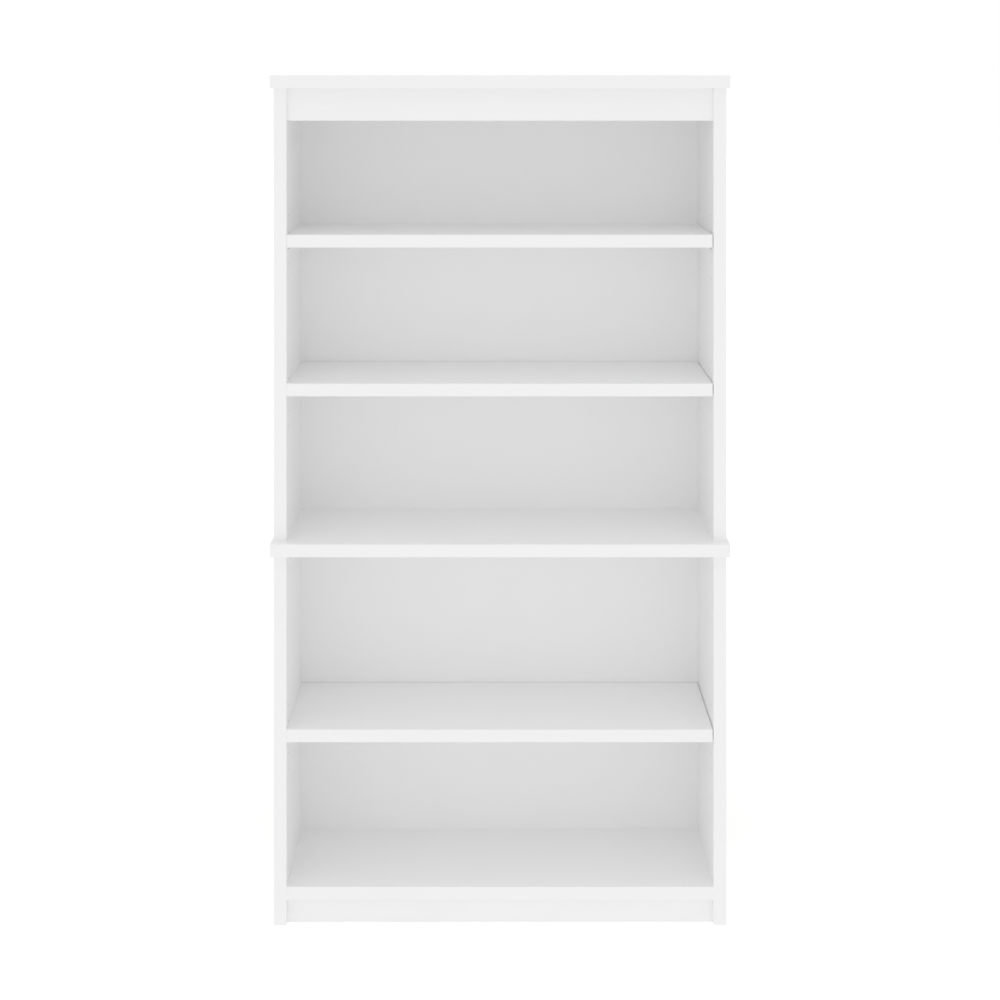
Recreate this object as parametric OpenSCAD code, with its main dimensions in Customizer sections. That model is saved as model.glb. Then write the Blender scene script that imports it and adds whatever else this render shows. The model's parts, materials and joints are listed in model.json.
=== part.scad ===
// Two-section bookcase in thick melamine-faced board, with three shelves that rest on movable pins.
// The origin is on the floor under the middle of the case. X is width, -Y is the front and +Z is up.

/* [Case] */
// Width over the side panels
case_w = 898.5; // [600:0.5:1100]
// Depth of the side panels, front edge to back edge
side_d = 294; // [230:1:400]
// Height of the lower section, floor to the top of the middle panel
lower_h = 762; // [600:1:950]
// Height of the upper section, top of the middle panel to the top of the bookcase
upper_h = 924.6; // [760:0.1:1150]
// Thickness of the boards
board_t = 25.4; // [20:0.1:32]

/* [Top and middle panels] */
// How far the two panels stand out past the outside of the sides
side_overhang = 4.75; // [0:0.25:12]
// How far the two panels stand out in front of the sides
front_overhang = 25.4; // [0:0.1:40]

/* [Base and top rail] */
// Height of the kick plate, and so of the underside of the bottom shelf
kick_h = 50.8; // [40:0.1:110]
// Distance of the kick plate behind the front of the sides
kick_recess = 15; // [2:1:60]
// Height of the rail under the top panel
rail_h = 64.6; // [50:0.1:110]
// Distance of the rail behind the front of the sides
rail_recess = 8; // [2:1:60]

/* [Adjustable shelves] */
// Underside of the top shelf, above the middle panel
top_shelf_rise = 582.8; // [480:0.1:640]
// Underside of the centre shelf, above the middle panel
centre_shelf_rise = 287.6; // [160:0.1:340]
// Underside of the low shelf, above the bottom shelf
low_shelf_rise = 286.8; // [150:0.1:400]
// Space between a shelf's left end and the side panel
shelf_gap_left = 0.1; // [0.1:0.1:2]
// Space between a shelf's right end and the side panel
shelf_gap_right = 1.6; // [0.1:0.1:3]
// How much shallower a shelf is than the side panels
shelf_short = 1.5; // [1:0.5:10]
// Space left behind the top shelf, which stands pushed back
top_shelf_back_gap = 0.3; // [0.2:0.1:1]

/* [Shelf pins] */
// Radius of a pin hole
pin_hole_r = 2.5; // [2:0.1:3.5]
// Space between a pin and its hole, all round
pin_clear = 0.05; // [0.02:0.01:0.1]
// Depth of a pin hole
pin_hole_depth = 12; // [9:0.5:14]
// Space at the bottom of a pin hole
pin_end_gap = 1; // [0.5:0.5:2]
// Distance between rows of pin holes
pin_pitch = 32; // [25:1:50]
// Rows of pin holes above the one in use, and also below it
pin_rows = 2; // [1:1:2]
// Distance of the pin holes from the side panel's front and back edges
pin_in = 40; // [30:1:70]
// Height of a pin's flat top above the middle of its peg
pin_flat = 2.5; // [2.5:0.1:3.5]
// Radius of a pin's collar
pin_collar_r = 4.5; // [4:0.1:6]
// Thickness of a pin's collar
pin_collar_t = 1.5; // [1:0.1:2]
// Length of the tongue under the shelf
pin_tongue_l = 9; // [6:0.5:14]
// Thickness of the tongue
pin_tongue_t = 2.6; // [2:0.1:3]
// How much narrower the tongue is than the collar, on each side
pin_tongue_in = 0.5; // [0.2:0.1:1]
// Chamfer on the end of the peg
pin_chamfer = 0.6; // [0.3:0.1:1]

/* [Edge banding] */
// Thickness of the banding on the visible edges
band_t = 1; // [0.5:0.1:2]
// Radius along the banding's corners
band_r = 0.8; // [0.2:0.1:1.5]

/* [Backs] */
// Thickness of the back panels
back_t = 3.2; // [2.5:0.1:6]
// Distance of the back panels' edges inside the outline of the case
back_inset = 3; // [1:0.5:8]
// Space between the upper and the lower back panel
back_joint = 2; // [1:0.5:4]
// Radius of a nail's shank
nail_r = 0.8; // [0.6:0.1:1]
// Length of a nail under its head
nail_l = 24; // [18:1:30]
// Radius of a nail's head
nail_head_r = 2; // [1.5:0.1:2.4]
// Thickness of a nail's head
nail_head_t = 0.8; // [0.5:0.1:1]
// Distance of a row's end nails from the boards that cross it
nail_end = 25; // [15:1:60]
// Nails down each side of the upper back panel
upper_side_nails = 7; // [3:1:10]
// Nails down each side of the lower back panel
lower_side_nails = 5; // [3:1:9]
// Nails across the top and the bottom of each back panel
cross_nails = 6; // [3:1:9]

/* [Cam joints] */
// Distance of the bolts from the front and back edges of a panel
bolt_in = 60; // [50:1:80]
// Distance from a bolt to the dowel beside it
dowel_step = 32; // [20:1:40]
// How much further in the joints on top of the middle panel are than those under it
joint_stagger = 16; // [10:1:20]
// Distance of the kick plate's bolt and dowel from its bottom and top edges
kick_joint_in = 16; // [14:1:18]
// Distance of the rail's bolt and dowel from its bottom and top edges
rail_joint_in = 18; // [14:1:20]
// Depth of the bolts' line behind the face that the cams are turned from
bolt_line = 9.5; // [8:0.1:12]
// Distance from a joint to the middle of its cam
cam_reach = 34; // [24:1:40]
// Radius of a cam's pocket
cam_r = 7.5; // [6:0.5:9]
// Thickness of the cam below the hollow for the bolt's head
cam_floor = 1.6; // [1:0.1:2.5]
// Distance of a cam's face inside the board's face
cam_face_in = 0.2; // [0.1:0.1:0.5]
// Space round a bolt's neck and head in the cam
cam_bolt_clear = 0.3; // [0.1:0.05:0.5]
// Width of the cross recess in a cam's face
cam_slot_w = 1.5; // [1:0.1:2]
// Depth of the cross recess
cam_slot_depth = 2; // [1:0.1:3]
// Length of the cross recess's arms, tip to tip
cam_slot_l = 9; // [6:0.5:11]
// Space round a cam in its pocket
cam_clear = 0.1; // [0.05:0.05:0.3]
// Radius of the bore that a bolt passes along
bore_r = 4; // [3.5:0.1:5]
// Radius of a bolt's screwed end
thread_r = 2.5; // [2:0.1:3]
// Length of a bolt's screwed end
thread_l = 11; // [9:0.5:13]
// Radius of a bolt's shank
shank_r = 3; // [2.5:0.1:3.4]
// Radius of the collar that stops a bolt at the board's face
collar_r = 3.6; // [3.1:0.1:4]
// Thickness of that collar
collar_t = 1.5; // [1:0.1:2]
// Radius of a bolt's neck
neck_r = 1.6; // [1.2:0.1:2]
// Length of the neck that stands outside the cam
neck_out = 0.5; // [0.3:0.1:1]
// Radius of a bolt's head
head_r = 2.9; // [2.4:0.1:3.2]
// Length of a bolt's head
head_l = 3.4; // [2.5:0.1:4]
// Chamfers on a bolt's head
head_chamfer = 0.6; // [0.2:0.1:0.8]
// Radius of a dowel's hole
dowel_r = 4; // [3:0.5:5]
// Length of a dowel
dowel_l = 30; // [25:1:35]
// Depth of a dowel's hole in the face of a board
dowel_face_depth = 11.5; // [9:0.5:13]
// Space at the end of a dowel in the edge of a board
dowel_end_gap = 1; // [0.5:0.5:3]
// Chamfer on a dowel's ends
dowel_chamfer = 1; // [0.5:0.1:1.5]
// Radius of a cover cap
cap_r = 8.5; // [8:0.1:10]
// Thickness of a cover cap
cap_t = 0.8; // [0.5:0.1:1.5]
// Space round a screw, nail or dowel, and at the bottom of its hole
fixing_clear = 0.05; // [0.02:0.01:0.1]

/* [Wall bracket] */
// Width of the bracket
bracket_w = 50; // [40:1:80]
// Length of each leaf
bracket_leaf = 28; // [24:1:40]
// Thickness of the bracket
bracket_t = 1.5; // [1:0.1:2.5]
// Outside radius of the bend
bracket_bend_r = 3; // [2.6:0.1:5]
// Distance between the two holes in each leaf
bracket_hole_step = 30; // [20:1:34]
// Distance of the holes from the bend's outer face
bracket_hole_in = 17; // [14:1:20]
// Radius of the holes for the wall screws
wall_hole_r = 2.5; // [2:0.1:3.5]
// Radius of a bracket screw
bracket_screw_r = 1.8; // [1.4:0.1:2.2]
// Length of a bracket screw under its head
bracket_screw_l = 16; // [12:1:18]
// Radius of a bracket screw's head
bracket_screw_head_r = 3.6; // [3:0.1:4.2]
// Height of a bracket screw's head
bracket_screw_head_h = 2.2; // [1.6:0.1:3]
// Width of the cross recess in a bracket screw's head
bracket_screw_slot_w = 0.8; // [0.5:0.1:1.2]

/* [Hidden] */
$fn = 48;
eps = 0.01;

total_h = lower_h + upper_h;
total_d = front_overhang + side_d + back_t;
panel_w = case_w + 2 * side_overhang;
inner_w = case_w - 2 * board_t;
panel_y0 = -total_d / 2;
side_y0 = panel_y0 + front_overhang;
side_y1 = side_y0 + side_d;
bottom_top = kick_h + board_t;
middle_z0 = lower_h - board_t;
top_z0 = total_h - board_t;
rail_z0 = top_z0 - rail_h;
rail_y0 = side_y0 + rail_recess;
kick_y0 = side_y0 + kick_recess;
band_round = min(band_r, 0.8 * band_t);
head_hollow_r = head_r + cam_bolt_clear;
cam_thick = bolt_line - cam_face_in + head_hollow_r + cam_floor;
cam_depth = cam_face_in + cam_thick + cam_clear;

// Each shelf: name, height of its underside, distance of its front behind the front of the sides
SHELVES = [
    ["top_shelf", lower_h + top_shelf_rise, shelf_short - top_shelf_back_gap],
    ["centre_shelf", lower_h + centre_shelf_rise, 0],
    ["low_shelf", bottom_top + low_shelf_rise, 0]
];
SIDES = [["left", -1], ["right", 1]];
pin_ys = [["front", side_y0 + pin_in], ["back", side_y1 - pin_in]];
pin_names = [for (shelf = SHELVES) for (side = SIDES) for (row = pin_ys)
    str(shelf[0], "_pin_", side[0], "_", row[0])];

// A joint's place: a point on the bolt's axis at the joint, the bolt's direction, the way the cam faces.
function both_sides(places) = [for (s = [-1, 1]) for (p = places) [for (v = p) [s * v[0], v[1], v[2]]]];
function depths(inset) = [side_y0 + inset, side_y1 - inset];
function upright(z, up, inset) =
    both_sides([for (y = depths(inset)) [[inner_w / 2 + bolt_line, y, z], [0, 0, up], [-1, 0, 0]]]);
function crosswise(y, z, facing) = both_sides([[[inner_w / 2, y, z], [-1, 0, 0], facing]]);
function spread(from, to, count) = [for (i = [0 : count - 1]) from + (to - from) * i / (count - 1)];

top_bolts = upright(top_z0, -1, bolt_in);
top_dowels = upright(top_z0, -1, bolt_in + dowel_step);
foot_bolts = upright(lower_h, 1, bolt_in + joint_stagger);
foot_dowels = upright(lower_h, 1, bolt_in + joint_stagger + dowel_step);
head_bolts = upright(middle_z0, -1, bolt_in);
head_dowels = upright(middle_z0, -1, bolt_in + dowel_step);
bottom_z = kick_h + bolt_line;
bottom_bolts = [for (y = depths(bolt_in)) each crosswise(y, bottom_z, [0, 0, -1])];
bottom_dowels = [for (y = depths(bolt_in + dowel_step)) each crosswise(y, bottom_z, [0, 0, -1])];
rail_y = rail_y0 + board_t - bolt_line;
rail_bolts = crosswise(rail_y, rail_z0 + rail_joint_in, [0, 1, 0]);
rail_dowels = crosswise(rail_y, top_z0 - rail_joint_in, [0, 1, 0]);
kick_y = kick_y0 + board_t - bolt_line;
kick_bolts = crosswise(kick_y, kick_joint_in, [0, 1, 0]);
kick_dowels = crosswise(kick_y, kick_h - kick_joint_in, [0, 1, 0]);

// Nails go through the back panels into the middle of the boards' back edges.
back_x = case_w / 2 - back_inset;
upper_back_z = [lower_h - board_t / 2 + back_joint / 2, total_h - back_inset];
lower_back_z = [kick_h + back_inset, lower_h - board_t / 2 - back_joint / 2];
nail_rows = spread(-inner_w / 2 + nail_end, inner_w / 2 - nail_end, cross_nails);
function side_rows(z0, z1, count) =
    [for (s = [-1, 1]) for (z = spread(z0, z1, count)) [s * (inner_w + board_t) / 2, z]];
upper_nails = concat(
    side_rows(lower_h + nail_end, top_z0 - nail_end, upper_side_nails),
    [for (z = [lower_h - board_t / 4, total_h - board_t / 2]) for (x = nail_rows) [x, z]]
);
lower_nails = concat(
    side_rows(bottom_top + nail_end, middle_z0 - nail_end, lower_side_nails),
    [for (z = [kick_h + board_t / 2, lower_h - board_t * 3 / 4]) for (x = nail_rows) [x, z]]
);

// ---- Helpers ----

// A board between two corners
module board(low, high) {
    translate(low) cube(high - low);
}

// Section of the banding on an edge of height h: flat where it is glued, rounded outside
module band_section(h) {
    intersection() {
        square([band_t, h]);
        union() {
            square([band_t - band_round, h]);
            translate([0, band_round]) square([band_t, h - 2 * band_round]);
            for (v = [band_round, h - band_round]) translate([band_t - band_round, v]) circle(band_round);
        }
    }
}

// Banding along X whose outer face looks forward; y is the glued face
module front_band(x0, x1, y, z0) {
    translate([x0, y, z0]) rotate([90, 0, 90])
        linear_extrude(x1 - x0) mirror([1, 0, 0]) band_section(board_t);
}

// Banding up a side panel's front edge
module upright_band(side, z0, z1) {
    translate([side * (inner_w + board_t) / 2 - board_t / 2, side_y0 + band_t, z0]) rotate([0, 0, -90])
        linear_extrude(z1 - z0) band_section(board_t);
}

// Puts its children at a joint: +X along the bolt, +Z the way the cam faces
module at(place) {
    p = place[0];
    x = place[1];
    z = place[2];
    y = cross(z, x);
    multmatrix([
        [x[0], y[0], z[0], p[0]],
        [x[1], y[1], z[1], p[1]],
        [x[2], y[2], z[2], p[2]],
        [0, 0, 0, 1]
    ]) children();
}

// A rod along +X from x0 to x1
module rod(r, x0, x1) {
    translate([x0, 0, 0]) rotate([0, 90, 0]) cylinder(r = r, h = x1 - x0);
}

// Holes in the board that holds the cams: bore, pocket and dowel hole, from its edge
module edge_holes(bolts, dowels) {
    for (place = bolts) at(place) {
        rod(bore_r, -eps, cam_reach);
        translate([cam_reach, 0, bolt_line - cam_depth]) cylinder(r = cam_r, h = cam_depth + eps);
    }
    for (place = dowels) at(place) rod(dowel_r, -eps, dowel_l - dowel_face_depth + dowel_end_gap);
}

// Holes in the board that the bolts screw into, from its face
module face_holes(bolts, dowels) {
    for (place = bolts) at(place) rod(thread_r + fixing_clear, -thread_l - fixing_clear, eps);
    for (place = dowels) at(place) rod(dowel_r, -dowel_face_depth, eps);
}

// The nails' holes, from the face of the back panels into the boards
module nail_holes(places) {
    for (place = places) translate([place[0], side_y1 + back_t, place[1]]) rotate([90, 0, 0]) {
        cylinder(r = nail_r + fixing_clear, h = nail_head_t + nail_l + fixing_clear);
        translate([0, 0, -eps]) cylinder(r = nail_head_r + fixing_clear, h = nail_head_t + eps);
    }
}

// Every pin hole in one side panel for the named shelves
module pin_holes(side, shelves) {
    for (shelf = shelves) for (row = pin_ys) for (k = [-pin_rows : pin_rows])
        translate([side * inner_w / 2, row[1], shelf[1] - pin_flat + k * pin_pitch])
            rotate([0, side * 90, 0]) translate([0, 0, -eps])
                cylinder(r = pin_hole_r, h = pin_hole_depth + eps);
}

module wall_bracket_screw_places() {
    for (s = [-1, 1])
        translate([s * bracket_hole_step / 2, side_y1 - bracket_hole_in, top_z0 - bracket_t]) children();
}

// ---- Boards ----

module overhanging_panel(z0) {
    board([-panel_w / 2 + band_t, panel_y0 + band_t, z0], [panel_w / 2 - band_t, side_y1, z0 + board_t]);
}

// The front strip runs right across, and the two side strips meet it from behind
module overhanging_bands(z0) {
    front_band(-panel_w / 2, panel_w / 2, panel_y0 + band_t, z0);
    for (s = [0, 1]) mirror([s, 0, 0]) translate([panel_w / 2 - band_t, side_y1, z0]) rotate([90, 0, 0])
        linear_extrude(side_y1 - panel_y0 - band_t) band_section(board_t);
}

module top_panel() {
    color("white") difference() {
        overhanging_panel(top_z0);
        face_holes(top_bolts, top_dowels);
        nail_holes(upper_nails);
        wall_bracket_screw_places()
            cylinder(r = bracket_screw_r + fixing_clear, h = bracket_screw_l + fixing_clear);
    }
}

module top_panel_edge_band() {
    color("white") overhanging_bands(top_z0);
}

module middle_panel() {
    color("white") difference() {
        overhanging_panel(middle_z0);
        face_holes(foot_bolts, foot_dowels);
        face_holes(head_bolts, head_dowels);
        nail_holes(upper_nails);
        nail_holes(lower_nails);
    }
}

module middle_panel_edge_band() {
    color("white") overhanging_bands(middle_z0);
}

module side_board(side, z0, z1) {
    x = side * (inner_w + board_t) / 2;
    board([x - board_t / 2, side_y0 + band_t, z0], [x + board_t / 2, side_y1, z1]);
}

module upper_side(side) {
    color("white") difference() {
        side_board(side, lower_h, top_z0);
        edge_holes(top_bolts, top_dowels);
        edge_holes(foot_bolts, foot_dowels);
        face_holes(rail_bolts, rail_dowels);
        pin_holes(side, [SHELVES[0], SHELVES[1]]);
        nail_holes(upper_nails);
    }
}

module lower_side(side) {
    color("white") difference() {
        side_board(side, 0, middle_z0);
        edge_holes(head_bolts, head_dowels);
        face_holes(bottom_bolts, bottom_dowels);
        face_holes(kick_bolts, kick_dowels);
        pin_holes(side, [SHELVES[2]]);
        nail_holes(lower_nails);
    }
}

module upper_side_left() { upper_side(-1); }
module upper_side_right() { upper_side(1); }
module lower_side_left() { lower_side(-1); }
module lower_side_right() { lower_side(1); }
module upper_side_left_edge_band() { color("white") upright_band(-1, lower_h, top_z0); }
module upper_side_right_edge_band() { color("white") upright_band(1, lower_h, top_z0); }
module lower_side_left_edge_band() { color("white") upright_band(-1, 0, middle_z0); }
module lower_side_right_edge_band() { color("white") upright_band(1, 0, middle_z0); }

module bottom_shelf() {
    color("white") difference() {
        board([-inner_w / 2, side_y0 + band_t, kick_h], [inner_w / 2, side_y1, bottom_top]);
        edge_holes(bottom_bolts, bottom_dowels);
        nail_holes(lower_nails);
    }
}

module bottom_shelf_edge_band() {
    color("white") front_band(-inner_w / 2, inner_w / 2, side_y0 + band_t, kick_h);
}

module kick_plate() {
    color("white") difference() {
        board([-inner_w / 2, kick_y0, 0], [inner_w / 2, kick_y0 + board_t, kick_h]);
        edge_holes(kick_bolts, kick_dowels);
    }
}

module top_rail() {
    color("white") difference() {
        board([-inner_w / 2, rail_y0, rail_z0 + band_t], [inner_w / 2, rail_y0 + board_t, top_z0]);
        edge_holes(rail_bolts, rail_dowels);
    }
}

module top_rail_edge_band() {
    color("white") translate([-inner_w / 2, rail_y0, rail_z0 + band_t]) rotate([0, 90, 0])
        linear_extrude(inner_w) band_section(board_t);
}

// ---- Adjustable shelves and their pins ----

module shelf_board(shelf) {
    color("white") board(
        [-inner_w / 2 + shelf_gap_left, side_y0 + shelf[2] + band_t, shelf[1]],
        [inner_w / 2 - shelf_gap_right, side_y0 + shelf[2] + side_d - shelf_short, shelf[1] + board_t]
    );
}

module shelf_edge_band(shelf) {
    color("white") front_band(-inner_w / 2 + shelf_gap_left, inner_w / 2 - shelf_gap_right,
        side_y0 + shelf[2] + band_t, shelf[1]);
}

// A pin in a left-hand hole: peg into the board, collar against it, flat tongue under the shelf
module pin() {
    peg_r = pin_hole_r - pin_clear;
    peg_l = pin_hole_depth - pin_end_gap;
    rotate([0, -90, 0]) rotate_extrude() polygon([
        [0, 0], [peg_r, 0], [peg_r, peg_l - pin_chamfer], [peg_r - pin_chamfer, peg_l], [0, peg_l]
    ]);
    intersection() {
        rod(pin_collar_r, 0, pin_collar_t);
        translate([0, -pin_collar_r, -pin_collar_r])
            cube([pin_collar_t, 2 * pin_collar_r, pin_collar_r + pin_flat]);
    }
    tongue_r = pin_collar_r - pin_tongue_in;
    translate([0, 0, pin_flat - pin_tongue_t]) linear_extrude(pin_tongue_t) {
        translate([0, -tongue_r]) square([pin_tongue_l - tongue_r, 2 * tongue_r]);
        translate([pin_tongue_l - tongue_r, 0]) circle(tongue_r);
    }
}

module shelf_pin(shelf, side, y) {
    color("silver") translate([side * inner_w / 2, y, shelf[1] - pin_flat])
        mirror([side > 0 ? 1 : 0, 0, 0]) pin();
}

// ---- Backs ----

module back_board(z) {
    board([-back_x, side_y1, z[0]], [back_x, side_y1 + back_t, z[1]]);
}

module wall_holes(r) {
    for (s = [-1, 1])
        translate([s * bracket_hole_step / 2, side_y1 - bracket_bend_r, top_z0 - bracket_hole_in])
            rotate([-90, 0, 0]) cylinder(r = r, h = bracket_bend_r + back_t + eps);
}

module upper_back_panel() {
    color("white") difference() {
        back_board(upper_back_z);
        nail_holes(upper_nails);
        wall_holes(wall_hole_r);
    }
}

module lower_back_panel() {
    color("white") difference() {
        back_board(lower_back_z);
        nail_holes(lower_nails);
    }
}

module nails(places) {
    color("gainsboro") for (place = places)
        translate([place[0], side_y1 + back_t, place[1]]) rotate([90, 0, 0]) rotate_extrude()
            polygon([
                [0, 0], [nail_head_r, 0], [nail_head_r, nail_head_t], [nail_r, nail_head_t],
                [nail_r, nail_head_t + nail_l - 2 * nail_r], [0, nail_head_t + nail_l]
            ]);
}

module upper_back_nails() { nails(upper_nails); }
module lower_back_nails() { nails(lower_nails); }

// ---- Fixings ----

// A cam: a round body with a cross recess in its face and a hollow that takes the bolt's neck and head
module cam_lock() {
    face = bolt_line - cam_face_in;
    hollow_x = head_l / 2 + cam_bolt_clear;
    difference() {
        translate([cam_reach, 0, face - cam_thick]) cylinder(r = cam_r - cam_clear, h = cam_thick);
        rod(neck_r + cam_bolt_clear, cam_reach - cam_r, cam_reach);
        rod(head_hollow_r, cam_reach - hollow_x, cam_reach + hollow_x);
        for (turn = [0, 90]) translate([cam_reach, 0, face]) rotate([0, 0, turn])
            cube([cam_slot_l, cam_slot_w, 2 * cam_slot_depth], center = true);
    }
}

// A bolt: screwed end, collar, shank, neck and head
module cam_bolt() {
    neck0 = cam_reach - cam_r - neck_out;
    head0 = cam_reach - head_l / 2;
    head1 = head0 + head_l;
    point_r = thread_r / 2;
    rotate([0, 90, 0]) rotate_extrude() polygon([
        [0, -thread_l], [point_r, -thread_l], [thread_r, -thread_l + thread_r], [thread_r, 0],
        [collar_r, 0], [collar_r, collar_t], [shank_r, collar_t], [shank_r, neck0 + neck_r - shank_r],
        [neck_r, neck0], [neck_r, head0], [head_r - head_chamfer, head0], [head_r, head0 + head_chamfer],
        [head_r, head1 - head_chamfer], [head_r - head_chamfer, head1], [0, head1]
    ]);
}

module dowel() {
    r = dowel_r - fixing_clear;
    x0 = -dowel_face_depth + fixing_clear;
    x1 = x0 + dowel_l;
    c = dowel_chamfer;
    rotate([0, 90, 0]) rotate_extrude()
        polygon([[0, x0], [r - c, x0], [r, x0 + c], [r, x1 - c], [r - c, x1], [0, x1]]);
}

module cover_cap() {
    translate([cam_reach, 0, bolt_line]) rotate_extrude()
        polygon([[0, 0], [cap_r, 0], [cap_r, cap_t / 2], [cap_r - cap_t / 2, cap_t], [0, cap_t]]);
}

module cam_locks(places) { color("darkgray") for (place = places) at(place) cam_lock(); }
module cam_bolts(places) { color("silver") for (place = places) at(place) cam_bolt(); }

module top_cam_locks() { cam_locks(top_bolts); }
module top_cam_bolts() { cam_bolts(top_bolts); }
module upper_foot_cam_locks() { cam_locks(foot_bolts); }
module upper_foot_cam_bolts() { cam_bolts(foot_bolts); }
module lower_head_cam_locks() { cam_locks(head_bolts); }
module lower_head_cam_bolts() { cam_bolts(head_bolts); }
module bottom_shelf_cam_locks() { cam_locks(bottom_bolts); }
module bottom_shelf_cam_bolts() { cam_bolts(bottom_bolts); }
module rail_cam_locks() { cam_locks(rail_bolts); }
module rail_cam_bolts() { cam_bolts(rail_bolts); }
module kick_cam_locks() { cam_locks(kick_bolts); }
module kick_cam_bolts() { cam_bolts(kick_bolts); }

module wood_dowels() {
    places = concat(top_dowels, foot_dowels, head_dowels, bottom_dowels, rail_dowels, kick_dowels);
    color("burlywood") for (place = places) at(place) dowel();
}

// Caps cover the cams that face into the compartments
module cam_cover_caps() {
    color("white") for (place = concat(top_bolts, foot_bolts, head_bolts)) at(place) cover_cap();
}

// ---- Wall bracket ----

// The bend is at the corner between the back and the top panel
module bracket_section() {
    difference() {
        union() {
            translate([bracket_bend_r, 0]) square([bracket_leaf - bracket_bend_r, bracket_t]);
            translate([0, bracket_bend_r]) square([bracket_t, bracket_leaf - bracket_bend_r]);
            intersection() {
                square(bracket_bend_r);
                translate([bracket_bend_r, bracket_bend_r]) circle(bracket_bend_r);
            }
        }
        translate([bracket_bend_r, bracket_bend_r]) circle(bracket_bend_r - bracket_t);
    }
}

module wall_bracket() {
    color("gainsboro") difference() {
        translate([-bracket_w / 2, side_y1, top_z0]) rotate([90, 0, 90]) rotate([0, 0, 180])
            linear_extrude(bracket_w) bracket_section();
        wall_holes(wall_hole_r);
        translate([0, 0, -eps]) wall_bracket_screw_places()
            cylinder(r = bracket_screw_r + fixing_clear, h = bracket_t + 2 * eps);
    }
}

module wall_bracket_screws() {
    r = bracket_screw_r;
    head_r = bracket_screw_head_r;
    head_h = bracket_screw_head_h;
    color("silver") wall_bracket_screw_places() difference() {
        rotate_extrude() polygon([
            [0, -head_h], [head_r - head_h / 2, -head_h], [head_r, -head_h / 2], [head_r, 0], [r, 0],
            [r, bracket_screw_l - 2 * r], [0, bracket_screw_l]
        ]);
        for (turn = [0, 90]) translate([0, 0, -head_h]) rotate([0, 0, turn])
            cube([head_r, bracket_screw_slot_w, head_h], center = true);
    }
}

// ---- The whole bookcase ----

top_panel();
top_panel_edge_band();
top_rail();
top_rail_edge_band();
upper_side_left();
upper_side_right();
upper_side_left_edge_band();
upper_side_right_edge_band();
middle_panel();
middle_panel_edge_band();
lower_side_left();
lower_side_right();
lower_side_left_edge_band();
lower_side_right_edge_band();
bottom_shelf();
bottom_shelf_edge_band();
kick_plate();
upper_back_panel();
lower_back_panel();
upper_back_nails();
lower_back_nails();
for (shelf = SHELVES) {
    shelf_board(shelf);
    shelf_edge_band(shelf);
    for (side = SIDES) for (row = pin_ys)
        shelf_pin(shelf, side[1], row[1]);
}
top_cam_locks();
top_cam_bolts();
upper_foot_cam_locks();
upper_foot_cam_bolts();
lower_head_cam_locks();
lower_head_cam_bolts();
bottom_shelf_cam_locks();
bottom_shelf_cam_bolts();
rail_cam_locks();
rail_cam_bolts();
kick_cam_locks();
kick_cam_bolts();
wood_dowels();
cam_cover_caps();
wall_bracket();
wall_bracket_screws();
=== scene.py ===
"""The looks of a white bookcase with adjustable shelves: its finishes, the softened corners of its
small fittings, the studio around it and the viewer. Every shape comes from the frame."""

import json
import math

import bmesh
import bpy
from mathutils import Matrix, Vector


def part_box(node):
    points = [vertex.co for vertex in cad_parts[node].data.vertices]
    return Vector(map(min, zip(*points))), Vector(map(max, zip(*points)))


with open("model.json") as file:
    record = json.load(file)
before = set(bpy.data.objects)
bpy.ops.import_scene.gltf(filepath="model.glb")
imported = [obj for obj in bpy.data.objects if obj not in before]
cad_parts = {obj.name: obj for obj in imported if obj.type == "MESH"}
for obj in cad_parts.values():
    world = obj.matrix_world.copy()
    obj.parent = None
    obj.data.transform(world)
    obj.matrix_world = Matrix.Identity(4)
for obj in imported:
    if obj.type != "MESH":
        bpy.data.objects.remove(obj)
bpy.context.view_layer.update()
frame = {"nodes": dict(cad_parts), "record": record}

MM = 0.001
X, Y, Z = 0, 1, 2
SIDE_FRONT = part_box("upper_side_left_edge_band")[0].y
BACK_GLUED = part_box("upper_back_panel")[0].y


# ---- The viewer, at eye height in front of the case ----

EYE_HEIGHT = 1.6676
EYE_TO_SIDES = 3.735
LENS = 67.75
SENSOR = 36
DROP = -0.415  # the lens is lowered, so that the uprights stay parallel
NEAREST = 0.05
FARTHEST = 100


def viewer():
    lens = bpy.data.cameras.new("viewer")
    lens.sensor_width = SENSOR
    lens.lens = LENS
    lens.shift_y = DROP
    lens.clip_start = NEAREST
    lens.clip_end = FARTHEST
    camera = bpy.data.objects.new("viewer", lens)
    camera.location = (0, SIDE_FRONT - EYE_TO_SIDES, EYE_HEIGHT)
    camera.rotation_euler = (math.radians(90), 0, 0)
    bpy.context.scene.collection.objects.link(camera)
    bpy.context.scene.camera = camera


# ---- Joining shader nodes ----


def add(tree, kind, **settings):
    node = tree.nodes.new(kind)
    for key, value in settings.items():
        setattr(node, key, value)
    return node


def feed(tree, socket, value):
    """Gives a socket either a constant or another node's output."""
    if isinstance(value, bpy.types.NodeSocket):
        tree.links.new(value, socket)
    elif isinstance(value, tuple) and socket.type == "RGBA":
        socket.default_value = (*value, 1)
    else:
        socket.default_value = value


def feed_all(tree, node, values):
    """Feeds a node's inputs, which are given by name."""
    for label, value in values.items():
        feed(tree, node.inputs[label], value)


def calc(tree, operation, *values, clamp=False):
    node = add(tree, "ShaderNodeMath", operation=operation, use_clamp=clamp)
    for socket, value in zip(node.inputs, values):
        feed(tree, socket, value)
    return node.outputs[0]


def vector_calc(tree, operation, *values):
    node = add(tree, "ShaderNodeVectorMath", operation=operation)
    for socket, value in zip(node.inputs, values):
        feed(tree, socket, value)
    return node.outputs["Value" if operation == "DOT_PRODUCT" else "Vector"]


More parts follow.
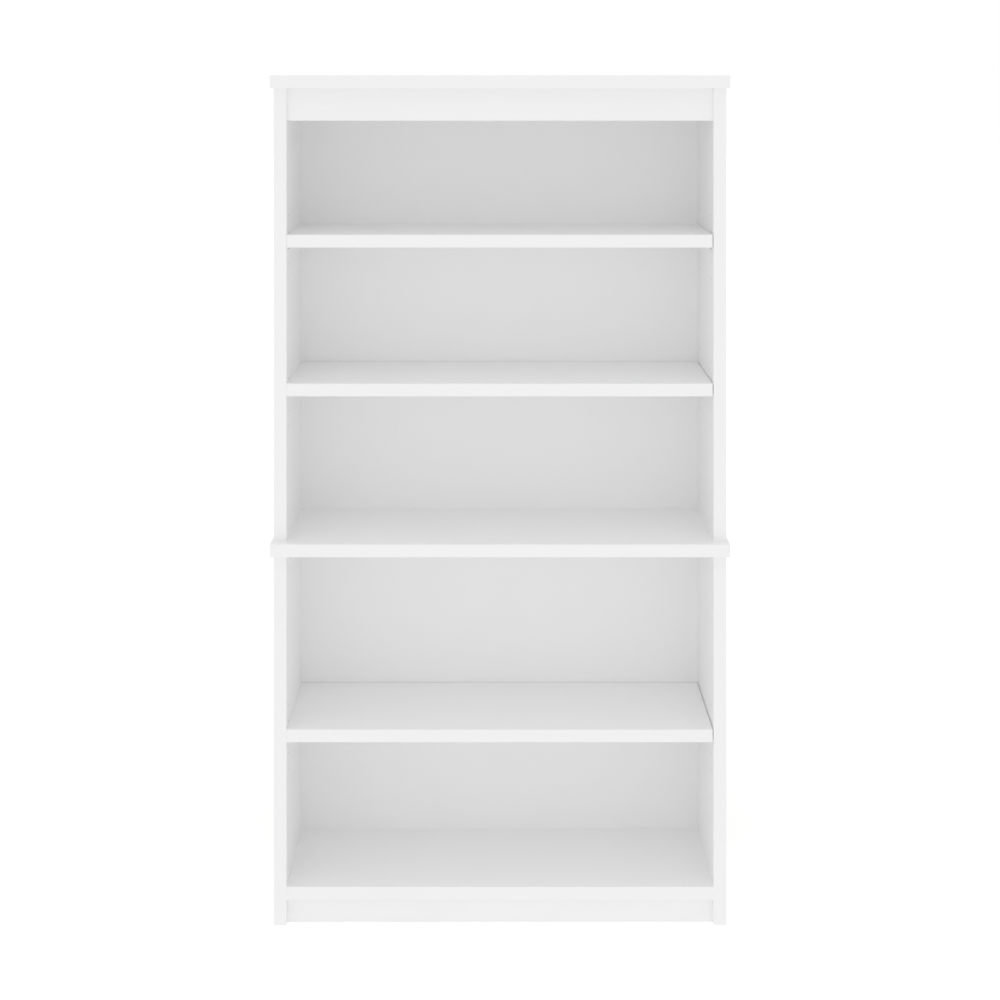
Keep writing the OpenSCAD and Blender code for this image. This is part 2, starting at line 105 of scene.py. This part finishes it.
def split(tree, value):
    """The three parts of a vector or a colour."""
    is_colour = value.type == "RGBA"
    node = add(tree, "ShaderNodeSeparateColor" if is_colour else "ShaderNodeSeparateXYZ")
    feed(tree, node.inputs[0], value)
    return node.outputs


def between(tree, value, low, high, out_low=0.0, out_high=1.0):
    """Spreads value from low..high to out_low..out_high, and holds it there."""
    node = add(tree, "ShaderNodeMapRange")
    ends = {"From Min": low, "From Max": high, "To Min": out_low, "To Max": out_high}
    feed_all(tree, node, {"Value": value, **ends})
    return node.outputs["Result"]


def mix_colour(tree, mask, first, second):
    node = add(tree, "ShaderNodeMix", data_type="RGBA")
    colours = [socket for socket in node.inputs if socket.type == "RGBA"]
    feed(tree, node.inputs["Factor"], mask)
    feed(tree, colours[0], first)
    feed(tree, colours[1], second)
    return next(socket for socket in node.outputs if socket.type == "RGBA")


def place(tree, stretch=None):
    """The piece's own coordinates in metres, which move with it. A stretch above 1 makes a pattern
    finer along that axis, and one below 1 draws it out."""
    where = add(tree, "ShaderNodeTexCoord").outputs["Object"]
    return vector_calc(tree, "MULTIPLY", where, stretch) if stretch else where


def noise(tree, where, scale, detail=3.0, roughness=0.5):
    node = add(tree, "ShaderNodeTexNoise")
    look = {"Scale": scale, "Detail": detail, "Roughness": roughness}
    feed_all(tree, node, {"Vector": where, **look})
    return node.outputs["Fac"]


def cells(tree, where, scale):
    """A random colour for each cell."""
    node = add(tree, "ShaderNodeTexVoronoi")
    feed_all(tree, node, {"Vector": where, "Scale": scale})
    return node.outputs["Color"]


# ---- Colours and small measures ----

WHITE_PALER = (0.939, 0.939, 0.939)
WHITE_GREYER = (0.893, 0.893, 0.893)
SCUFFED = (0.86, 0.858, 0.85)
GLUE = (0.74, 0.73, 0.7)
CHIP_BROWN = (0.42, 0.3, 0.18)
CHIP_PALE = (0.66, 0.52, 0.35)
BARK = (0.2, 0.12, 0.07)
PIT = (0.16, 0.1, 0.06)
FIBRE_DARK = (0.2, 0.115, 0.06)
FIBRE_PALE = (0.37, 0.235, 0.135)
FIBRE_STAIN = (0.24, 0.14, 0.075)
FIBRE_FUZZ = (0.46, 0.33, 0.2)
BEECH_DARK = (0.5, 0.34, 0.19)
BEECH_PALE = (0.72, 0.55, 0.36)
BEECH_FLECK = (0.36, 0.22, 0.11)
SPANGLE_DARK = (0.56, 0.58, 0.6)
SPANGLE_PALE = (0.68, 0.69, 0.7)
SPANGLE_RUBBED = (0.8, 0.8, 0.8)
NICKEL = (0.62, 0.6, 0.55)
NICKEL_RUBBED = (0.8, 0.79, 0.76)
CAST_ZINC = (0.5, 0.51, 0.52)
CAST_ZINC_RUBBED = (0.7, 0.7, 0.7)
PLATED_STEEL = (0.6, 0.59, 0.54)
PLATED_STEEL_RUBBED = (0.78, 0.78, 0.76)
BRIGHT_STEEL = (0.55, 0.55, 0.54)
BRIGHT_STEEL_RUBBED = (0.75, 0.75, 0.74)
SMEARED = 0.86  # how much of a metal's brightness a smear leaves

GLUE_LINE = 0.15 * MM  # how much of the glue shows behind the edge banding
PRINT = 0.25 * MM  # how deep the white goes into a board
PAINT = 0.15 * MM  # and into a back panel
WEAVE = 1.6 * MM  # from wire to wire of the screen that the backs are pressed on
WIRES = 0.25  # how high the wires' marks stand beside the fibres
PEARL_ON_BOARD = 0.05  # how high the white's grain stands beside sawn chips
PEARL_ON_BACK = 0.04  # and beside the fibres of a back panel
ROUGHER_BARE = 0.45  # what bare chipboard adds to the laminate's roughness
RUBBED_SMOOTHER = -0.1  # what rubbing adds to a metal's


# ---- Shared effects ----

MOST_OF_NOISE = (0.3, 0.7)  # nearly all of a noise lies between these
PATCHES_OF_NOISE = (0.4, 0.65)
EDGE_TURN = (0.98, 0.85)  # cosine between the rounded and unrounded normals, flat to edge
SPECKS_IN_CLOUD = 90.0  # how much finer the specks are than the clouds
SAWN_IN_CHIP = 1.7  # and the saw's roughness than the chips
BARK_CHIPS = (0.88, 0.94)  # about one chip in ten is bark
PITTED = (0.35, 0.25)  # the lowest places of the sawn face
FLECKED = (0.62, 0.7)  # the few short flecks of beech


def effect(name, inputs, outputs):
    """A shader group with number or vector inputs {name: default} and outputs {name: kind}."""
    tree = bpy.data.node_groups.new(name, "ShaderNodeTree")
    for label, default in inputs.items():
        kind = "NodeSocketVector" if isinstance(default, tuple) else "NodeSocketFloat"
        socket = tree.interface.new_socket(label, in_out="INPUT", socket_type=kind)
        socket.default_value = default
    for label, kind in outputs.items():
        tree.interface.new_socket(label, in_out="OUTPUT", socket_type="NodeSocket" + kind)
    given = add(tree, "NodeGroupInput").outputs
    return tree, given, add(tree, "NodeGroupOutput")


def worn_edges():
    """Mask along sharp edges, broken into patches as handling leaves them."""
    tree, given, out = effect(
        "worn edges", {"Radius": 1.0 * MM, "Patches": 60.0}, {"Mask": "Float"}
    )
    rounded = add(tree, "ShaderNodeBevel", samples=4)
    feed(tree, rounded.inputs["Radius"], given["Radius"])
    unrounded = add(tree, "ShaderNodeNewGeometry").outputs["Normal"]
    agree = vector_calc(tree, "DOT_PRODUCT", rounded.outputs["Normal"], unrounded)
    turned = between(tree, agree, *EDGE_TURN)
    patches = noise(tree, place(tree), given["Patches"], detail=4.0, roughness=0.6)
    patches = between(tree, patches, *MOST_OF_NOISE)
    feed_all(tree, out, {"Mask": calc(tree, "MULTIPLY", turned, patches)})
    return tree


def inside_box():
    """For a square-edged board: how deep a point lies inside its faces, and a mask of worn edges."""
    tree, given, out = effect(
        "inside box",
        {"Centre": (0, 0, 0), "Half": (1, 1, 1), "Width": 0.7 * MM, "Patches": 45.0},
        {"Depth": "Vector", "Worn": "Float"},
    )
    where = place(tree)
    off = vector_calc(tree, "SUBTRACT", where, given["Centre"])
    off = vector_calc(tree, "ABSOLUTE", off)
    depth = vector_calc(tree, "SUBTRACT", given["Half"], off)

    # Along an edge two of the three depths are small, so the second smallest one tells
    x, y, z = split(tree, depth)
    smaller = calc(tree, "MINIMUM", x, y)
    larger = calc(tree, "MAXIMUM", x, y)
    second = calc(tree, "MAXIMUM", smaller, calc(tree, "MINIMUM", larger, z))
    edge = between(tree, second, given["Width"], 0.0)
    patches = noise(tree, where, given["Patches"], detail=2.0, roughness=0.6)
    patches = between(tree, patches, *PATCHES_OF_NOISE)
    feed_all(tree, out, {"Depth": depth, "Worn": calc(tree, "MULTIPLY", edge, patches)})
    return tree


def pressed_laminate():
    """Printed laminate: a fine pearl grain in its height, and a faint unevenness in its tone."""
    tree, given, out = effect(
        "pressed laminate",
        {"Grain": 700.0, "Cloud": 2.2},
        {"Height": "Float", "Tone": "Float"},
    )
    where = place(tree)
    grain = noise(tree, where, given["Grain"], detail=1.0, roughness=0.6)
    cloud = noise(tree, where, given["Cloud"], detail=2.0, roughness=0.55)
    finer = calc(tree, "MULTIPLY", given["Cloud"], SPECKS_IN_CLOUD)
    specks = noise(tree, where, finer, detail=1.0)
    tone = 0.0
    for pattern, share in ((cloud, 0.45), (specks, 0.2), (grain, 0.35)):
        tone = calc(tree, "MULTIPLY_ADD", pattern, share, tone)
    feed_all(tree, out, {"Height": grain, "Tone": tone})
    return tree


def chipboard_core():
    """Sawn chipboard: pale chips and dark bark specks, with pits between them."""
    tree, given, out = effect(
        "chipboard core", {"Chips": 420.0}, {"Colour": "Color", "Height": "Float"}
    )
    where = place(tree, stretch=(1, 1, 1.6))
    paleness, bark, _ = split(tree, cells(tree, where, given["Chips"]))
    finer = calc(tree, "MULTIPLY", given["Chips"], SAWN_IN_CHIP)
    sawn = noise(tree, where, finer, detail=2.0, roughness=0.65)
    colour = mix_colour(tree, paleness, CHIP_BROWN, CHIP_PALE)
    colour = mix_colour(tree, between(tree, bark, *BARK_CHIPS), colour, BARK)
    colour = mix_colour(tree, between(tree, sawn, *PITTED), colour, PIT)
    feed_all(tree, out, {"Colour": colour, "Height": sawn})
    return tree


def drawn_metal():
    """Fine tool marks along the metal, and the smears that handling leaves."""
    tree, given, out = effect(
        "drawn metal", {"Marks": 900.0, "Smears": 70.0}, {"Marks": "Float", "Smears": "Float"}
    )
    along = place(tree, stretch=(0.25, 1, 1))
    marks = noise(tree, along, given["Marks"], detail=3.0, roughness=0.6)
    smears = noise(tree, place(tree), given["Smears"], detail=4.0, roughness=0.55)
    feed_all(tree, out, {"Marks": marks, "Smears": smears})
    return tree


WORN = worn_edges()
BOX = inside_box()
LAMINATE = pressed_laminate()
CORE = chipboard_core()
DRAWN = drawn_metal()


def use(tree, group, **values):
    """Places a shared effect with its own values."""
    node = add(tree, "ShaderNodeGroup", node_tree=group)
    feed_all(tree, node, values)
    return node.outputs


# ---- Finishes ----


def finish(name, **constants):
    """A new material, whose constants are set on the shader's own sockets."""
    material = bpy.data.materials.new(name)
    material.use_nodes = True
    tree = material.node_tree
    shader = tree.nodes["Principled BSDF"]
    for label, value in constants.items():
        feed(tree, shader.inputs[label.replace("_", " ")], value)
    return material, tree, shader


def coat(tree, shader, colour, roughness, height, ridge):
    """Feeds a finish's colour, roughness and relief. ridge is how far a height of 1 stands up."""
    relief = add(tree, "ShaderNodeBump")
    feed_all(tree, relief, {"Strength": 1.0, "Distance": ridge, "Height": height})
    feed_all(tree, shader, {"Base Color": colour, "Roughness": roughness})
    feed(tree, shader.inputs["Normal"], relief.outputs["Normal"])


def box_of(tree, low, high, **values):
    return use(tree, BOX, Centre=(low + high) / 2, Half=(high - low) / 2, **values)


def printed_white(tree, face):
    return mix_colour(tree, face["Tone"], WHITE_GREYER, WHITE_PALER)


def scuffed(tree, white, worn, most):
    """White that turns to the scuffed white along worn edges, by no more than most."""
    return mix_colour(tree, calc(tree, "MULTIPLY", worn, most), white, SCUFFED)


def uneven(tree, pattern, smoother, rougher):
    """A roughness that follows a pattern of noise."""
    return between(tree, pattern, *MOST_OF_NOISE, smoother, rougher)


def melamine_board(name, across, low, high, foiled=False):
    """White laminate on both faces of a chipboard core, which shows on sawn edges and in drilled
    holes. across is the axis through the board. A foiled board has white edges all round."""
    material, tree, shader = finish(name, IOR=1.46, Specular_IOR_Level=0.25)
    box = box_of(tree, low, high)
    face = use(tree, LAMINATE)
    core = use(tree, CORE)
    depth = split(tree, box["Depth"])
    nearest = depth[across]
    if foiled:
        nearest = calc(tree, "MINIMUM", depth[X], calc(tree, "MINIMUM", depth[Y], depth[Z]))
    bare = calc(tree, "GREATER_THAN", nearest, PRINT)
    white = scuffed(tree, printed_white(tree, face), box["Worn"], most=0.4)
    if across != Y:  # the rail and the kick plate have no banding on their fronts
        glued = calc(tree, "LESS_THAN", split(tree, place(tree))[Y], low.y + GLUE_LINE)
        white = mix_colour(tree, glued, white, GLUE)
    gloss = uneven(tree, face["Tone"], smoother=0.42, rougher=0.48)
    pearl = calc(tree, "MULTIPLY", face["Height"], PEARL_ON_BOARD)
    sawn = calc(tree, "MULTIPLY", bare, core["Height"])
    coat(
        tree,
        shader,
        colour=mix_colour(tree, bare, white, core["Colour"]),
        roughness=calc(tree, "MULTIPLY_ADD", bare, ROUGHER_BARE, gloss, clamp=True),
        height=calc(tree, "ADD", pearl, sawn),
        ridge=0.5 * MM,
    )
    return material


def edge_banding():
    material, tree, shader = finish("white_edge_banding", IOR=1.47, Specular_IOR_Level=0.3)
    face = use(tree, LAMINATE, Grain=1100.0, Cloud=3.1)
    worn = use(tree, WORN, Radius=0.8 * MM)["Mask"]
    coat(
        tree,
        shader,
        colour=scuffed(tree, printed_white(tree, face), worn, most=0.3),
        roughness=uneven(tree, face["Tone"], smoother=0.36, rougher=0.44),
        height=face["Height"],
        ridge=0.01 * MM,
    )
    return material


def hardboard(name, low, high):
    """White print on the inner face, and bare brown fibre with a screen's weave behind."""
    material, tree, shader = finish(name, IOR=1.45, Specular_IOR_Level=0.25)
    where = place(tree)
    own = split(tree, where)
    bare = calc(tree, "GREATER_THAN", own[Y], BACK_GLUED + PAINT)
    face = use(tree, LAMINATE, Grain=500.0, Cloud=1.7)

    along = place(tree, stretch=(1, 1, 0.35))
    fibre = noise(tree, along, scale=600.0, detail=2.0, roughness=0.7)
    stain = noise(tree, where, scale=9.0, detail=3.0, roughness=0.6)
    stain = between(tree, stain, low=0.4, high=0.75, out_high=0.5)
    brown = mix_colour(tree, fibre, FIBRE_DARK, FIBRE_PALE)
    brown = mix_colour(tree, stain, brown, FIBRE_STAIN)
    fuzz = box_of(tree, low, high, Width=1.5 * MM)["Worn"]
    brown = mix_colour(tree, fuzz, brown, FIBRE_FUZZ)

    wires = []
    for axis in (X, Z):
        turn = calc(tree, "MULTIPLY", own[axis], 2 * math.pi / WEAVE)
        wires.append(calc(tree, "SINE", turn))
    screen = calc(tree, "MULTIPLY", calc(tree, "ADD", *wires), WIRES)
    behind = calc(tree, "MULTIPLY", bare, calc(tree, "ADD", screen, fibre))
    pearl = calc(tree, "MULTIPLY", face["Height"], PEARL_ON_BACK)
    coat(
        tree,
        shader,
        colour=mix_colour(tree, bare, printed_white(tree, face), brown),
        roughness=between(tree, bare, 0, 1, out_low=0.48, out_high=0.8),
        height=calc(tree, "ADD", behind, pearl),
        ridge=0.25 * MM,
    )
    return material


def moulded_cap():
    material, tree, shader = finish("white_cap", IOR=1.46)
    face = use(tree, LAMINATE, Grain=1600.0, Cloud=30.0)
    coat(
        tree,
        shader,
        colour=printed_white(tree, face),
        roughness=uneven(tree, face["Tone"], smoother=0.34, rougher=0.42),
        height=face["Height"],
        ridge=0.01 * MM,
    )
    return material


def metal(name, clean, rubbed, rough, marks=900.0, ridge=0.02 * MM):
    """Dull metal with darker smears, brighter and smoother where its edges are rubbed. clean and
    rubbed are its colours, marks says how fine the tool's marks are, and ridge how high."""
    material, tree, shader = finish(name, Metallic=1.0)
    surface = use(tree, DRAWN, Marks=marks)
    worn = use(tree, WORN, Radius=0.4 * MM, Patches=400.0)["Mask"]
    smeared = tuple(SMEARED * part for part in clean)
    body = mix_colour(tree, between(tree, surface["Smears"], *MOST_OF_NOISE), smeared, clean)
    dullness = uneven(tree, surface["Smears"], smoother=rough - 0.05, rougher=rough + 0.07)
    coat(
        tree,
        shader,
        colour=mix_colour(tree, worn, body, rubbed),
        roughness=calc(tree, "MULTIPLY_ADD", worn, RUBBED_SMOOTHER, dullness),
        height=surface["Marks"],
        ridge=ridge,
    )
    return material


def plated_sheet():
    """Zinc-plated sheet with its crystal spangle."""
    material, tree, shader = finish("bracket_steel", Metallic=1.0)
    paleness, dullness, _ = split(tree, cells(tree, place(tree), scale=260.0))
    worn = use(tree, WORN, Radius=0.5 * MM, Patches=300.0)["Mask"]
    spangle = mix_colour(tree, paleness, SPANGLE_DARK, SPANGLE_PALE)
    coat(
        tree,
        shader,
        colour=mix_colour(tree, worn, spangle, SPANGLE_RUBBED),
        roughness=between(tree, dullness, 0, 1, out_low=0.28, out_high=0.44),
        height=use(tree, DRAWN)["Marks"],
        ridge=0.01 * MM,
    )
    return material


def beech():
    material, tree, shader = finish("beech_dowel", IOR=1.45)
    rings = place(tree, stretch=(0.15, 1, 0.3))
    ring = noise(tree, rings, scale=900.0, detail=4.0, roughness=0.6)
    flecks = place(tree, stretch=(0.3, 1, 0.5))
    fleck = noise(tree, flecks, scale=2600.0, detail=2.0)
    wood = mix_colour(tree, ring, BEECH_DARK, BEECH_PALE)
    coat(
        tree,
        shader,
        colour=mix_colour(tree, between(tree, fleck, *FLECKED), wood, BEECH_FLECK),
        roughness=between(tree, ring, 0, 1, out_low=0.6, out_high=0.75),
        height=ring,
        ridge=0.1 * MM,
    )
    return material


# ---- Which piece gets which finish ----

UPRIGHT = ("upper_side_left", "upper_side_right", "lower_side_left", "lower_side_right")
ADJUSTABLE = ("top_shelf", "centre_shelf", "low_shelf")
FLAT = ("top_panel", "middle_panel", "bottom_shelf", *ADJUSTABLE)
ON_EDGE = ("top_rail", "kick_plate")
BACKS = ("upper_back_panel", "lower_back_panel")


def paint(piece, material):
    piece.data.materials.clear()
    piece.data.materials.append(material)


def fittings():
    """The finishes of everything but the boards and the backs, by material slot."""
    return {
        "white_edge_band": edge_banding(),
        "white_cap": moulded_cap(),
        "pin_steel": metal("nickel_pin", NICKEL, NICKEL_RUBBED, rough=0.28),
        "cam_zinc": metal(
            "cast_zinc", CAST_ZINC, CAST_ZINC_RUBBED, rough=0.42, marks=300.0, ridge=0.05 * MM
        ),
        "bolt_steel": metal("plated_bolt", PLATED_STEEL, PLATED_STEEL_RUBBED, rough=0.3),
        "nail_steel": metal("bright_nail", BRIGHT_STEEL, BRIGHT_STEEL_RUBBED, rough=0.32),
        "bracket_steel": plated_sheet(),
        "beech_dowel": beech(),
    }


def paint_all():
    nodes = frame["nodes"]
    for names, across in ((UPRIGHT, X), (ON_EDGE, Y), (FLAT, Z)):
        for name in names:
            foiled = name in ADJUSTABLE
            board = melamine_board(name + "_melamine", across, *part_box(name), foiled)
            paint(nodes[name], board)
    for name in BACKS:
        paint(nodes[name], hardboard(name + "_hardboard", *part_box(name)))
    finishes = fittings()
    for part in frame["record"]["subparts"]:
        if part["material_slot"] in finishes:
            paint(nodes[part["node"]], finishes[part["material_slot"]])


# ---- Softened corners on the small fittings ----

# How wide the softening is, by a word in the piece's name
SOFTENED = {
    "pin": 0.25 * MM,
    "cover_caps": 0.2 * MM,
    "wall_bracket": 0.15 * MM,
    "nails": 0.2 * MM,
}
CORNER = 40  # degrees; gentler turns stay as they are


def soften():
    for name, piece in frame["nodes"].items():
        for word, width in SOFTENED.items():
            if word in name:
                corners = piece.modifiers.new("softened", "BEVEL")
                corners.width = width
                corners.segments = 2
                corners.limit_method = "ANGLE"
                corners.angle_limit = math.radians(CORNER)


# ---- Studio ----

FLOOR_HALF = 40
FLOOR_GREY = (0.5, 0.5, 0.5)
FLOOR_GLOW = 0.568  # what the lit sweep gives off towards the case
FLOOR_SHOWN = 0.6  # and towards the eye, so that it stays white
SURROUND = 0.567
SURROUND_SHOWN = 1.0
EVEN_WHITE = (1, 1, 1)
# What is added to the surround: where from, how tightly, and how bright
SOFT_LIGHTS = (
    ((0, 0, 1), 1, 0.41),
    ((0, -1, 0), 3, 0.29),
    ((-1, 0, 0), 1, 0.185),
    ((1, 0, 0), 1, 0.04),
)
BOUNCES = 14
DIFFUSE_BOUNCES = 12


def seen_or_lighting(tree, seen, lighting):
    """One value where the eye looks straight at it, and another where it only lights the case."""
    eye = add(tree, "ShaderNodeLightPath").outputs["Is Camera Ray"]
    return between(tree, eye, 0, 1, lighting, seen)


def soft_lights(tree):
    """The strength of the surround in each direction: an even part and wide soft lights."""
    direction = add(tree, "ShaderNodeTexCoord").outputs["Generated"]
    total = SURROUND
    for towards, tight, level in SOFT_LIGHTS:
        facing = vector_calc(tree, "DOT_PRODUCT", direction, towards)
        facing = calc(tree, "MAXIMUM", facing, 0)
        if tight > 1:
            facing = calc(tree, "POWER", facing, tight)
        total = calc(tree, "MULTIPLY_ADD", facing, level, total)
    return total


def studio_floor():
    mesh = bpy.data.meshes.new("studio_floor")
    shape = bmesh.new()
    bmesh.ops.create_grid(shape, x_segments=1, y_segments=1, size=FLOOR_HALF)
    shape.to_mesh(mesh)
    shape.free()
    floor = bpy.data.objects.new("studio_floor", mesh)
    bpy.context.scene.collection.objects.link(floor)
    material, tree, shader = finish(
        "studio_floor_paint", Roughness=0.9, Specular_IOR_Level=0.0
    )
    glow = seen_or_lighting(tree, FLOOR_SHOWN, FLOOR_GLOW)
    feed_all(tree, shader, {"Emission Color": EVEN_WHITE, "Emission Strength": glow})
    feed(tree, shader.inputs["Base Color"], FLOOR_GREY)
    mesh.materials.append(material)


def studio_surround():
    world = bpy.data.worlds.new("studio_surround")
    bpy.context.scene.world = world
    world.use_nodes = True
    world.cycles.sampling_method = "NONE"  # so smooth a surround needs no aimed rays
    tree = world.node_tree
    strength = seen_or_lighting(tree, SURROUND_SHOWN, soft_lights(tree))
    feed_all(tree, tree.nodes["Background"], {"Color": EVEN_WHITE, "Strength": strength})


def plain_view():
    scene = bpy.context.scene
    scene.view_settings.view_transform = "Standard"
    scene.view_settings.look = "None"
    scene.cycles.max_bounces = BOUNCES
    scene.cycles.diffuse_bounces = DIFFUSE_BOUNCES


viewer()
paint_all()
soften()
studio_floor()
studio_surround()
plain_view()
